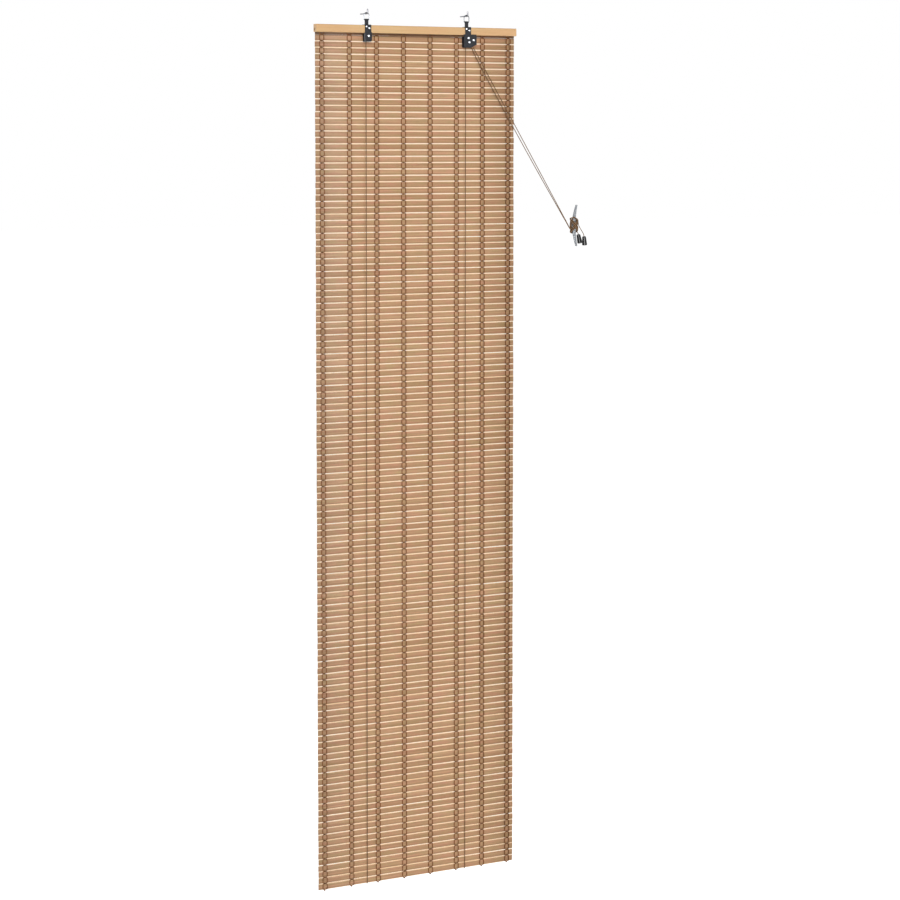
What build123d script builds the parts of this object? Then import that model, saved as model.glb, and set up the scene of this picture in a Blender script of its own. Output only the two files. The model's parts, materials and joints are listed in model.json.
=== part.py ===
"""Narrow roll-up blind of bamboo slats on two wall hooks, its draw cords tied off on a wall cleat.

Y is 0 on the wall and points into it, Z is up and 0 at the hooks' shanks, and X runs along the rail.
All lengths are in millimetres.
"""

import os

from build123d import *
from math import asin, atan2, cos, hypot, radians, sin, tan

os.makedirs("parts", exist_ok=True)

# Clearances
GAP = 0.3
FIT = 0.05

# Head rail
BLIND_WIDTH = 600.0
BLIND_DROP = 2200.0
RAIL_HEIGHT = 20.0
RAIL_DEPTH = 14.0
RAIL_ROUND = 2.5
RAIL_OFF_WALL = 7.5
HOOK_OVER_RAIL = 28.5

# Slat mat
SLAT_PITCH = 16.0
SLAT_WIDTH = 15.0
SLAT_THICKNESS = 2.4
SLAT_BEVEL = 1.2
SLAT_SEAT = 10.0
MAT_INSET = 1.5
MAT_BEHIND_FRONT = 10.0

# Twine warps: two strands in front of the slats and one behind them
WARP_COUNT = 8
WARP_FROM_END = 20.0
STRAND_SPREAD = 12.6
STRAND_WIDTH = 1.6
STRAND_THICKNESS = 0.9
STRAND_SEAT = 0.1
TWINE_TIE = 1.0
TWINE_KNOT_RADIUS = 1.7
TWINE_KNOT_LENGTH = 3.0

# Brads through the rail's rear wall and the top slat
BRAD_RADIUS = 0.8
BRAD_LENGTH = 9.0
BRAD_HEAD_RADIUS = 1.8
BRAD_HEAD = 0.8
BRAD_COUNT = 4
BRAD_FROM_END = 60.0

# Screw hooks
HANGER_SPACING = 300.0
HOOK_RADIUS = 1.75
HOOK_SHANK_RADIUS = 1.5
HOOK_BEND = 3.5
HOOK_RISE = 12.0
HOOK_PAST_RING = 5.5
HOOK_IN_WALL = 17.5
HOOK_POINT = 4.0
HOOK_POINT_RADIUS = 0.3

# Wire rings
RING_WIRE_RADIUS = 1.0
RING_WIDTH = 15.0
RING_FOOT_BEND = 1.3
RING_CROWN = 7.4
RING_OVER_RAIL = 13.6

# Hangers, each folded from one strip of sheet
SHEET = 1.2
FOLD_RADIUS = 1.6
STRAP_WIDTH = 18.0
NECK_WIDTH = 10.0
ROLL_WIDTH = 12.0
CHEEK_LAP = 2.0
CHEEK_CORNER = 4.0
REAR_LEG_BELOW = 8.0
ANCHOR_UP = 4.0
ANCHOR_BEND = 1.5

# Left pulley channel, measured from its hanger's middle
LEFT_CHEEK_REACH = 11.0
LEFT_CHEEK_BELOW = 21.5

# Cord lock channel, measured from its hanger's middle
LOCK_REACH_LEFT = 13.0
LOCK_REACH_RIGHT = 27.0
LOCK_BELOW = 32.0
LOCK_FLAT = 20.0
LOCK_RISE = 9.0

# Screws that hold the hangers to the rail
SCREW_RADIUS = 1.2
SCREW_LENGTH = 7.0
SCREW_HEAD_RADIUS = 2.2
SCREW_HEAD = 1.3
SCREW_CROWN_RADIUS = 1.2
UPPER_SCREW_SIDE = 4.5
UPPER_SCREW_DROP = 4.0
LOWER_SCREW_SIDE = 4.0
LOWER_SCREW_DROP = 8.0

# Cords
CORD_RADIUS = 1.0
CORD_SLACK = 0.2
CORD_KNOT_RADIUS = 2.4
CORD_KNOT_LENGTH = 2.6
LOOP_SHARE = 0.96

# Pulleys, roller and locking cam on their axle rivets
AXLE_RADIUS = 1.5
AXLE_HEAD_RADIUS = 2.7
AXLE_HEAD = 1.1
AXLE_CROWN_RADIUS = 1.6
PULLEY_SIDE = 2.0
PULLEY_TURN = 5.6
PULLEY_RIM = 6.4
WHEEL_PLAY = 0.4
GROOVE_FLOOR = 2.6
GROOVE_FLARE = 0.2
CORD_APART = 3.1
CAM_SIDE = 17.0
CAM_BELOW_PULLEY = 5.2
CAM_HUB = 3.6
CAM_TOOTH = 0.9
CAM_TEETH = 9
CAM_START_DEG = 140.0
CAM_END_DEG = 230.0
ROLLER_SIDE = 4.0
ROLLER_BELOW_PULLEY = 10.8
ROLLER_RADIUS = 3.4

# Wall cleat
CLEAT_X = 491.2
CLEAT_BELOW_RAIL_TOP = 513.5
CLEAT_LENGTH = 109.0
CLEAT_TIP_OUT = 26.0
CLEAT_TIP_THICKNESS = 3.4
CLEAT_MIDDLE_OUT = 15.0
CLEAT_NECK_OUT = 8.0
CLEAT_NECK_HEIGHT = 20.0
CLEAT_BASE_HEIGHT = 25.0
CLEAT_BASE_LIP = 2.0
CLEAT_WIDTH = 8.5
CLEAT_TIP_WIDTH = 5.0
CLEAT_EDGE = 1.5
CLEAT_HORN_BOW = 1.2
CLEAT_HOLE_RADIUS = 2.1
CLEAT_HOLE_SPACING = 13.0

# Turns of cord on the cleat
WRAP_WIDTH = 29.0
WRAP_HEIGHT = 44.0
WRAP_REAR = 2.5
WRAP_FRONT = 19.0
WRAP_ROUND = 13.0
WRAP_EDGE = 3.0

# Cord weights and the tails they hang on
WEIGHT_TOP_RADIUS = 5.0
WEIGHT_RADIUS = 7.0
WEIGHT_LENGTH = 24.0
WEIGHT_EDGE = 1.5
WEIGHT_BORE_LENGTH = 9.0
WEIGHT_CAVITY_RADIUS = 3.6
TAIL_KNOT_RADIUS = 2.4
TAIL_KNOT_LENGTH = 3.0
TAIL_BEND_UP = 4.0

# Places along the depth
RAIL_REAR = -RAIL_OFF_WALL
RAIL_FRONT = RAIL_REAR - RAIL_DEPTH
RAIL_MID = (RAIL_FRONT + RAIL_REAR) / 2
MAT_Y = RAIL_FRONT + MAT_BEHIND_FRONT
SLAT_FRONT = MAT_Y - SLAT_THICKNESS / 2
SLAT_REAR = MAT_Y + SLAT_THICKNESS / 2
STRAND_FRONT = SLAT_FRONT - STRAND_THICKNESS
STRAND_REAR = SLAT_REAR + STRAND_THICKNESS
STRAP_Y = RAIL_FRONT - SHEET / 2
STRAP_FRONT = RAIL_FRONT - SHEET
REAR_LEG_Y = RAIL_REAR + SHEET / 2
REAR_CHEEK_REAR = SLAT_FRONT - GAP
REAR_CHEEK_Y = REAR_CHEEK_REAR - SHEET / 2
REAR_CHEEK_FRONT = REAR_CHEEK_REAR - SHEET
CHANNEL_Y = (RAIL_FRONT + REAR_CHEEK_FRONT) / 2
WHEEL_WIDTH = REAR_CHEEK_FRONT - RAIL_FRONT - 2 * WHEEL_PLAY
LOCK_FRONT_Y = CHANNEL_Y - CORD_APART / 2
LOCK_REAR_Y = CHANNEL_Y + CORD_APART / 2
CORD_FRONT_Y = SLAT_FRONT - GAP - CORD_RADIUS
CORD_REAR_Y = SLAT_REAR + GAP + CORD_RADIUS

# Heights
RAIL_TOP = -HOOK_OVER_RAIL
RAIL_BOTTOM = RAIL_TOP - RAIL_HEIGHT
MAT_TOP = RAIL_BOTTOM + SLAT_SEAT
SLAT_COUNT = 1 + round((BLIND_DROP - RAIL_HEIGHT + SLAT_SEAT - SLAT_WIDTH) / SLAT_PITCH)
UPPER_COUNT = (SLAT_COUNT + 1) // 2
MAT_BOTTOM = MAT_TOP - SLAT_WIDTH - (SLAT_COUNT - 1) * SLAT_PITCH
BRAD_Z = RAIL_BOTTOM + SLAT_SEAT / 2
SADDLE_Z = RAIL_TOP + SHEET / 2
SADDLE_TOP = RAIL_TOP + SHEET
RING_BAR_Z = RAIL_TOP + RING_OVER_RAIL
RING_TOP_Z = HOOK_RADIUS + FIT + RING_WIRE_RADIUS
ROLL_BORE = RING_WIRE_RADIUS + FIT
ROLL_RADIUS = ROLL_BORE + SHEET
CHEEK_TOP = RAIL_BOTTOM + CHEEK_LAP
CHANNEL_TOP = RAIL_BOTTOM - GAP
REAR_LEG_END = RAIL_BOTTOM - REAR_LEG_BELOW
ANCHOR_Z = REAR_LEG_END + ANCHOR_UP
CROSS_Z = RAIL_BOTTOM - GAP - CORD_SLACK - CORD_RADIUS
AXLE_Z = CROSS_Z - PULLEY_TURN
CORD_LOW_Z = MAT_BOTTOM - GAP - CORD_RADIUS
CLEAT_Z = RAIL_TOP - CLEAT_BELOW_RAIL_TOP

# Places along the rail
MAT_WIDTH = BLIND_WIDTH - 2 * MAT_INSET
HANGER_X = HANGER_SPACING / 2
WARP_PITCH = (BLIND_WIDTH - 2 * WARP_FROM_END) / (WARP_COUNT - 1)
WARP_PLACES = [(i - (WARP_COUNT - 1) / 2) * WARP_PITCH for i in range(WARP_COUNT)]
CARRIER_PLACES = (WARP_PLACES[0], WARP_PLACES[-1])
BRAD_PITCH = (BLIND_WIDTH - 2 * BRAD_FROM_END) / (BRAD_COUNT - 1)
BRAD_PLACES = [(i - (BRAD_COUNT - 1) / 2) * BRAD_PITCH for i in range(BRAD_COUNT)]
LEFT_AXLE = (PULLEY_SIDE - HANGER_X, AXLE_Z)
GUIDE_AXLE = (HANGER_X + PULLEY_SIDE, AXLE_Z)
CAM_AXLE = (HANGER_X + CAM_SIDE, AXLE_Z - CAM_BELOW_PULLEY)
ROLLER_AXLE = (HANGER_X + ROLLER_SIDE, AXLE_Z - ROLLER_BELOW_PULLEY)
LEFT_CORD_X = LEFT_AXLE[0] - PULLEY_TURN
RIGHT_CORD_X = GUIDE_AXLE[0] - PULLEY_TURN - CORD_SLACK
LOCK_CORD_X = GUIDE_AXLE[0] + PULLEY_TURN
CAM_TURN = CAM_AXLE[0] - LOCK_CORD_X
CAM_RADIUS = CAM_TURN - CORD_RADIUS - GAP

# The cleat's cord ends: where both draw cords reach the turns, each tail's start, and each weight's line
FRONT_DRAW_END = (478.0, -16.2, -552.0)
REAR_DRAW_END = (478.0, -13.4, -552.0)
TAIL_STARTS = ((499.0, -16.5, -555.0), (503.0, -14.0, -540.0))
WEIGHT_TOPS = ((502.5, -16.5, -565.8), (522.8, -14.0, -571.3))
WEIGHT_FEET = ((507.5, -16.5, -587.2), (524.9, -14.0, -595.3))

# The angle from the vertical at which the draw cords leave the cam for the cleat
draw_reach = hypot(FRONT_DRAW_END[0] - CAM_AXLE[0], CAM_AXLE[1] - FRONT_DRAW_END[2])
draw_aim = atan2(FRONT_DRAW_END[0] - CAM_AXLE[0], CAM_AXLE[1] - FRONT_DRAW_END[2])
DRAW_ANGLE = draw_aim + asin(CAM_TURN / draw_reach)
CAM_CORNER_Z = CAM_AXLE[1] - CAM_TURN * tan(DRAW_ANGLE / 2)


def facing(y):
    """The plane across the depth y that faces the room, with X to the right and Z up."""
    return Plane(origin=(0, y, 0), x_dir=(1, 0, 0), z_dir=(0, -1, 0))


def save(part, name):
    """Write one piece under its own name."""
    part.label = name
    export_step(part, f"parts/{name}.step")


def drill(places, radius, y, depth):
    """Cut round holes at the (X, Z) places, from the depth y towards the wall."""
    with BuildSketch(facing(y)) as holes:
        with Locations(*places):
            Circle(radius)
    extrude(holes.sketch, amount=-depth, mode=Mode.SUBTRACT)


def screw_places(x):
    """The (X, Z) places of one hanger's two screws."""
    upper = (x - UPPER_SCREW_SIDE, RAIL_TOP - UPPER_SCREW_DROP)
    lower = (x + LOWER_SCREW_SIDE, RAIL_TOP - LOWER_SCREW_DROP)
    return [upper, lower]


def draw_point(start, end, length):
    """The point at a length along the straight line from start to end."""
    along = Vector(*end) - Vector(*start)
    return tuple(Vector(*start) + along.normalized() * length)


# Head rail with a groove for the mat's top slat
GROOVE_FRONT = STRAND_FRONT - STRAND_SEAT
GROOVE_REAR = STRAND_REAR + STRAND_SEAT
with BuildPart() as head_rail:
    with BuildSketch(Plane.YZ):
        with Locations((RAIL_MID, (RAIL_TOP + RAIL_BOTTOM) / 2)):
            RectangleRounded(RAIL_DEPTH, RAIL_HEIGHT, RAIL_ROUND)
        with Locations(((GROOVE_FRONT + GROOVE_REAR) / 2, RAIL_BOTTOM)):
            Rectangle(GROOVE_REAR - GROOVE_FRONT, 2 * (SLAT_SEAT + GAP), mode=Mode.SUBTRACT)
    extrude(amount=BLIND_WIDTH / 2, both=True)
    drill([(x, BRAD_Z) for x in BRAD_PLACES], BRAD_RADIUS + FIT, RAIL_REAR - BRAD_LENGTH, BRAD_LENGTH)
    drill(
        screw_places(-HANGER_X) + screw_places(HANGER_X),
        SCREW_RADIUS + FIT,
        RAIL_FRONT,
        SCREW_LENGTH - SHEET + GAP,
    )
save(head_rail.part, "head_rail")


def slat_wall(first, count):
    """A run of slats, six-sided in section, fused to the rear strands of the two outer warps."""
    top = MAT_TOP - first * SLAT_PITCH
    low = top - SLAT_WIDTH - (count - 1) * SLAT_PITCH
    if first + count < SLAT_COUNT:
        low = top - count * SLAT_PITCH
    flat = SLAT_WIDTH / 2 - SLAT_BEVEL
    half = SLAT_THICKNESS / 2
    middles = [(MAT_Y, top - SLAT_WIDTH / 2 - i * SLAT_PITCH) for i in range(count)]
    with BuildPart() as wall:
        with BuildSketch(Plane.YZ):
            with Locations(*middles):
                Polygon(
                    (-half, -flat), (0, -SLAT_WIDTH / 2), (half, -flat),
                    (half, flat), (0, SLAT_WIDTH / 2), (-half, flat),
                    align=None,
                )
        extrude(amount=MAT_WIDTH / 2, both=True)
        with BuildSketch(facing(SLAT_REAR)):
            with Locations(*[(x, (top + low) / 2) for x in CARRIER_PLACES]):
                Rectangle(STRAND_WIDTH, top - low)
        extrude(amount=-STRAND_THICKNESS)
        if first == 0:
            drill([(x, BRAD_Z) for x in BRAD_PLACES], BRAD_RADIUS + FIT, SLAT_FRONT, SLAT_THICKNESS)
    return wall.part


save(slat_wall(0, UPPER_COUNT), "upper_slats")
save(slat_wall(UPPER_COUNT, SLAT_COUNT - UPPER_COUNT), "lower_slats")

# Twine warps, tied and knotted under the last slat
TIE_LOW = MAT_BOTTOM - TWINE_TIE
STRAND_MIDDLE = (MAT_TOP + TIE_LOW) / 2
STRAND_LENGTH = MAT_TOP - TIE_LOW
for number, warp_x in enumerate(WARP_PLACES, 1):
    with BuildPart() as warp:
        with BuildSketch(facing(SLAT_FRONT)):
            with Locations((warp_x, STRAND_MIDDLE)):
                with Locations((-STRAND_SPREAD / 2, 0), (STRAND_SPREAD / 2, 0)):
                    Rectangle(STRAND_WIDTH, STRAND_LENGTH)
        extrude(amount=STRAND_THICKNESS)
        if warp_x not in CARRIER_PLACES:
            with BuildSketch(facing(SLAT_REAR)):
                with Locations((warp_x, STRAND_MIDDLE)):
                    Rectangle(STRAND_WIDTH, STRAND_LENGTH)
            extrude(amount=-STRAND_THICKNESS)
        with BuildSketch(Plane.XY.offset(TIE_LOW)):
            with Locations((warp_x, (STRAND_FRONT + STRAND_REAR) / 2)):
                Rectangle(STRAND_SPREAD + STRAND_WIDTH, STRAND_REAR - STRAND_FRONT)
        extrude(amount=TWINE_TIE)
        with BuildSketch(Plane.XY.offset(TIE_LOW)):
            with Locations((warp_x, MAT_Y)):
                RegularPolygon(TWINE_KNOT_RADIUS, 6)
        extrude(amount=-TWINE_KNOT_LENGTH)
    save(warp.part, f"warp_{number}")

# Brads, driven from behind
with BuildPart() as mat_brads:
    with BuildSketch(facing(RAIL_REAR)):
        with Locations(*[(x, BRAD_Z) for x in BRAD_PLACES]):
            Circle(BRAD_HEAD_RADIUS)
    extrude(amount=-BRAD_HEAD)
    with BuildSketch(facing(RAIL_REAR)):
        with Locations(*[(x, BRAD_Z) for x in BRAD_PLACES]):
            Circle(BRAD_RADIUS)
    extrude(amount=BRAD_LENGTH - GAP)
save(mat_brads.part, "mat_brads")


def hook(x):
    """A screw hook: a pointed shank that leaves the wall and turns up in front of the ring."""
    front = RAIL_MID - HOOK_PAST_RING
    blunt = HOOK_IN_WALL - HOOK_POINT
    with BuildPart() as bent:
        with BuildLine() as route:
            FilletPolyline((x, 0, 0), (x, front, 0), (x, front, HOOK_RISE), radius=HOOK_BEND)
        with BuildSketch(Plane(origin=(x, 0, 0), z_dir=(0, -1, 0))):
            Circle(HOOK_RADIUS)
        sweep(path=route.line)
        with BuildSketch(Plane(origin=(x, 0, 0), x_dir=(0, 1, 0), z_dir=(0, 0, 1))):
            Polygon(
                (0, 0), (0, HOOK_SHANK_RADIUS), (blunt, HOOK_SHANK_RADIUS),
                (HOOK_IN_WALL, HOOK_POINT_RADIUS), (HOOK_IN_WALL, 0),
                align=None,
            )
        revolve(axis=Axis((x, 0, 0), (0, 1, 0)))
    return bent.part


save(hook(-HANGER_X), "left_hook")
save(hook(HANGER_X), "right_hook")


def ring(x):
    """A wire ring with a straight foot in the hanger's roll and a round top on the hook."""
    half = RING_WIDTH / 2
    foot = RING_BAR_Z
    bends = [RING_FOOT_BEND, RING_FOOT_BEND, RING_CROWN, RING_CROWN]
    corners = [(x - half, foot), (x + half, foot), (x + half, RING_TOP_Z), (x - half, RING_TOP_Z)]
    with BuildPart() as wire:
        with BuildLine(facing(RAIL_MID)) as route:
            FilletPolyline(*corners, radius=bends, close=True)
        with BuildSketch(Plane(origin=route.line @ 0, z_dir=route.line % 0)):
            RegularPolygon(RING_WIRE_RADIUS, 8)
        sweep(path=route.line)
    return wire.part


save(ring(-HANGER_X), "left_ring")
save(ring(HANGER_X), "right_ring")


def hanger(x, free_x, wall_x, below, flat, rise, axles, cord_x):
    """One folded hanger: saddle, neck and roll over the rail, and a channel of two cheeks under it.

    The channel's low edge is flat for a length from its free side, then climbs by a rise.
    """
    low = RAIL_BOTTOM - below
    inward = SHEET / 2 if free_x > wall_x else -SHEET / 2
    with BuildPart() as body:
        with BuildSketch(Plane.YZ.offset(x)):
            with BuildLine():
                FilletPolyline(
                    (STRAP_Y, CHANNEL_TOP), (STRAP_Y, SADDLE_Z),
                    (REAR_LEG_Y, SADDLE_Z), (REAR_LEG_Y, REAR_LEG_END),
                    radius=FOLD_RADIUS,
                )
            trace(line_width=SHEET)
            with Locations((RAIL_MID, (RAIL_TOP + RING_BAR_Z) / 2)):
                Rectangle(2 * SHEET, RING_BAR_Z - RAIL_TOP)
            with Locations((RAIL_MID, RING_BAR_Z)):
                Circle(ROLL_RADIUS)
                Circle(ROLL_BORE, mode=Mode.SUBTRACT)
        extrude(amount=STRAP_WIDTH / 2, both=True)
        with BuildSketch(facing(0)):
            for side in (-1, 1):
                with BuildLine():
                    Polyline(
                        (x + side * NECK_WIDTH / 2, SADDLE_TOP),
                        (x + side * NECK_WIDTH / 2, RING_BAR_Z - ROLL_RADIUS),
                        (x + side * ROLL_WIDTH / 2, RING_BAR_Z + ROLL_RADIUS),
                        (x + side * STRAP_WIDTH, RING_BAR_Z + ROLL_RADIUS),
                        (x + side * STRAP_WIDTH, SADDLE_TOP),
                        close=True,
                    )
                make_face()
        extrude(amount=-STRAP_FRONT, mode=Mode.SUBTRACT)
        with BuildSketch(Plane.XY.offset(low)):
            with BuildLine():
                FilletPolyline(
                    (free_x, STRAP_Y), (wall_x + inward, STRAP_Y),
                    (wall_x + inward, REAR_CHEEK_Y), (free_x, REAR_CHEEK_Y),
                    radius=FOLD_RADIUS,
                )
            trace(line_width=SHEET)
        extrude(amount=CHANNEL_TOP - low)
        lap_wall = wall_x + inward + 2 * inward
        with BuildSketch(facing(RAIL_FRONT)):
            with Locations(((free_x + lap_wall) / 2, (CHANNEL_TOP + CHEEK_TOP) / 2)):
                Rectangle(abs(free_x - lap_wall), CHEEK_TOP - CHANNEL_TOP)
        extrude(amount=SHEET)
        ends = body.edges().filter_by(Axis.Y).group_by(Axis.Z)[0]
        fillet(ends.filter_by(lambda edge: abs(edge.length - SHEET) < FIT), radius=CHEEK_CORNER)
        if rise > 0:
            with BuildSketch(facing(0)):
                Polygon((free_x + flat, low), (wall_x, low), (wall_x, low + rise), align=None)
            extrude(amount=-STRAP_FRONT, mode=Mode.SUBTRACT)
        drill(axles, AXLE_RADIUS + FIT, STRAP_FRONT, REAR_CHEEK_REAR - STRAP_FRONT)
        drill(screw_places(x), SCREW_RADIUS + FIT, STRAP_FRONT, SHEET)
        drill([(cord_x, ANCHOR_Z)], CORD_RADIUS + GAP, RAIL_REAR, SHEET)
    return body.part


save(
    hanger(
        -HANGER_X, LEFT_CHEEK_REACH - HANGER_X, -LEFT_CHEEK_REACH - HANGER_X,
        LEFT_CHEEK_BELOW, 0, 0, [LEFT_AXLE], LEFT_CORD_X,
    ),
    "pulley_hanger",
)
save(
    hanger(
        HANGER_X, HANGER_X - LOCK_REACH_LEFT, HANGER_X + LOCK_REACH_RIGHT,
        LOCK_BELOW, LOCK_FLAT, LOCK_RISE, [GUIDE_AXLE, CAM_AXLE, ROLLER_AXLE], RIGHT_CORD_X,
    ),
    "lock_hanger",
)


def revolved(places, y, profile):
    """One turned solid at each (X, Z) place, from a profile of (radius, depth) points about y."""
    for x, z in places:
        with BuildSketch(Plane(origin=(x, y, z), x_dir=(1, 0, 0), z_dir=(0, 0, 1))) as section:
            Polygon(*profile, align=None)
        revolve(section.sketch, axis=Axis((x, y, z), (0, 1, 0)))


# Screws with low crowned heads
with BuildPart() as hanger_screws:
    revolved(
        screw_places(-HANGER_X) + screw_places(HANGER_X),
        STRAP_FRONT,
        [
            (0, -SCREW_HEAD), (SCREW_CROWN_RADIUS, -SCREW_HEAD), (SCREW_HEAD_RADIUS, -SCREW_HEAD / 2),
            (SCREW_HEAD_RADIUS, 0), (SCREW_RADIUS, 0), (SCREW_RADIUS, SCREW_LENGTH), (0, SCREW_LENGTH),
        ],
    )
save(hanger_screws.part, "hanger_screws")

# Axle rivets with crowned heads, flush behind the rear cheek
AXLE_END = REAR_CHEEK_REAR - STRAP_FRONT
with BuildPart() as axle_rivets:
    revolved(
        [LEFT_AXLE, GUIDE_AXLE, CAM_AXLE, ROLLER_AXLE],
        STRAP_FRONT,
        [
            (0, -AXLE_HEAD), (AXLE_CROWN_RADIUS, -AXLE_HEAD), (AXLE_HEAD_RADIUS, -AXLE_HEAD / 2),
            (AXLE_HEAD_RADIUS, 0), (AXLE_RADIUS, 0), (AXLE_RADIUS, AXLE_END), (0, AXLE_END),
        ],
    )
save(axle_rivets.part, "axle_rivets")

BORE = AXLE_RADIUS + FIT
GROOVE_RADIUS = PULLEY_TURN - CORD_RADIUS - GAP


def pulley_profile(grooves):
    """A wheel's section: bore, rim and one flared groove round each cord."""
    half = WHEEL_WIDTH / 2
    floor = GROOVE_FLOOR / 2
    profile = [(BORE, -half), (PULLEY_RIM, -half)]
    for groove in grooves:
        profile += [
            (PULLEY_RIM, groove - floor - GROOVE_FLARE), (GROOVE_RADIUS, groove - floor),
            (GROOVE_RADIUS, groove + floor), (PULLEY_RIM, groove + floor + GROOVE_FLARE),
        ]
    return profile + [(PULLEY_RIM, half), (BORE, half)]


with BuildPart() as left_pulley:
    revolved([LEFT_AXLE], CHANNEL_Y, pulley_profile([0]))
save(left_pulley.part, "left_pulley")

with BuildPart() as guide_pulley:
    revolved([GUIDE_AXLE], CHANNEL_Y, pulley_profile([-CORD_APART / 2, CORD_APART / 2]))
save(guide_pulley.part, "guide_pulley")

with BuildPart() as lock_roller:
    with BuildSketch(facing(CHANNEL_Y)):
        with Locations(ROLLER_AXLE):
            Circle(ROLLER_RADIUS)
            Circle(BORE, mode=Mode.SUBTRACT)
    extrude(amount=WHEEL_WIDTH / 2, both=True)
save(lock_roller.part, "lock_roller")

# Locking cam: a toothed sector that faces the cords
tooth_step = radians(CAM_END_DEG - CAM_START_DEG) / CAM_TEETH
cam_outline = [(0, 0)]
for tooth in range(CAM_TEETH):
    turn = radians(CAM_START_DEG) + tooth * tooth_step
    tip = turn + tooth_step / 2
    root = CAM_RADIUS - CAM_TOOTH
    cam_outline += [(root * cos(turn), root * sin(turn)), (CAM_RADIUS * cos(tip), CAM_RADIUS * sin(tip))]
with BuildPart() as lock_cam:
    with BuildSketch(facing(CHANNEL_Y)):
        with Locations(CAM_AXLE):
            Polygon(*cam_outline, align=None)
            Circle(CAM_HUB)
            Circle(BORE, mode=Mode.SUBTRACT)
    extrude(amount=WHEEL_WIDTH / 2, both=True)
save(lock_cam.part, "lock_cam")


def tube(points, bends):
    """A plain round cord along straight runs and tangent arcs."""
    with BuildPart() as cord:
        with BuildLine() as route:
            FilletPolyline(*points, radius=bends)
        with BuildSketch(Plane(origin=route.line @ 0, z_dir=route.line % 0)):
            Circle(CORD_RADIUS)
        sweep(path=route.line)
    return cord.part


def lift_cord(x, wheel_points, wheel_bends, lock_y, draw_end):
    """A lift cord from its knot behind the hanger, round the mat and over the pulleys to the lock."""
    loop = LOOP_SHARE * (CORD_REAR_Y - CORD_FRONT_Y) / 2
    knot_front = RAIL_REAR + SHEET + GAP
    corner = (LOCK_CORD_X, lock_y, CAM_CORNER_Z)
    leave = CAM_TURN * tan(DRAW_ANGLE / 2)
    points = [
        (x, knot_front + CORD_KNOT_LENGTH / 2, ANCHOR_Z),
        (x, CORD_REAR_Y, ANCHOR_Z),
        (x, CORD_REAR_Y, CORD_LOW_Z),
        (x, CORD_FRONT_Y, CORD_LOW_Z),
        *wheel_points,
        corner,
        draw_point(corner, draw_end, leave + CORD_SLACK),
    ]
    bends = [ANCHOR_BEND, loop, loop, *wheel_bends, CAM_TURN]
    with BuildPart() as cord:
        add(tube(points, bends))
        with BuildSketch(facing(knot_front)):
            with Locations((x, ANCHOR_Z)):
                RegularPolygon(CORD_KNOT_RADIUS, 6)
        extrude(amount=-CORD_KNOT_LENGTH)
    return cord.part


left_wheel_points = [(LEFT_CORD_X, CHANNEL_Y, CROSS_Z), (LOCK_CORD_X, LOCK_FRONT_Y, CROSS_Z)]
right_wheel_points = [(RIGHT_CORD_X, LOCK_REAR_Y, CROSS_Z), (LOCK_CORD_X, LOCK_REAR_Y, CROSS_Z)]
wheel_turns = [PULLEY_TURN, PULLEY_TURN]
save(lift_cord(LEFT_CORD_X, left_wheel_points, wheel_turns, LOCK_FRONT_Y, FRONT_DRAW_END), "left_lift_cord")
save(lift_cord(RIGHT_CORD_X, right_wheel_points, wheel_turns, LOCK_REAR_Y, REAR_DRAW_END), "right_lift_cord")


def draw_cord(lock_y, end):
    """A draw cord, straight from the lock's cam into the turns on the cleat."""
    corner = (LOCK_CORD_X, lock_y, CAM_CORNER_Z)
    start = draw_point(corner, end, CAM_TURN * tan(DRAW_ANGLE / 2) + CORD_SLACK)
    with BuildPart() as cord:
        with BuildLine() as route:
            Line(start, end)
        with BuildSketch(Plane(origin=start, z_dir=route.line % 0)):
            Circle(CORD_RADIUS)
        sweep(path=route.line)
    return cord.part


save(draw_cord(LOCK_FRONT_Y, FRONT_DRAW_END), "left_draw_cord")
save(draw_cord(LOCK_REAR_Y, REAR_DRAW_END), "right_draw_cord")


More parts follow.
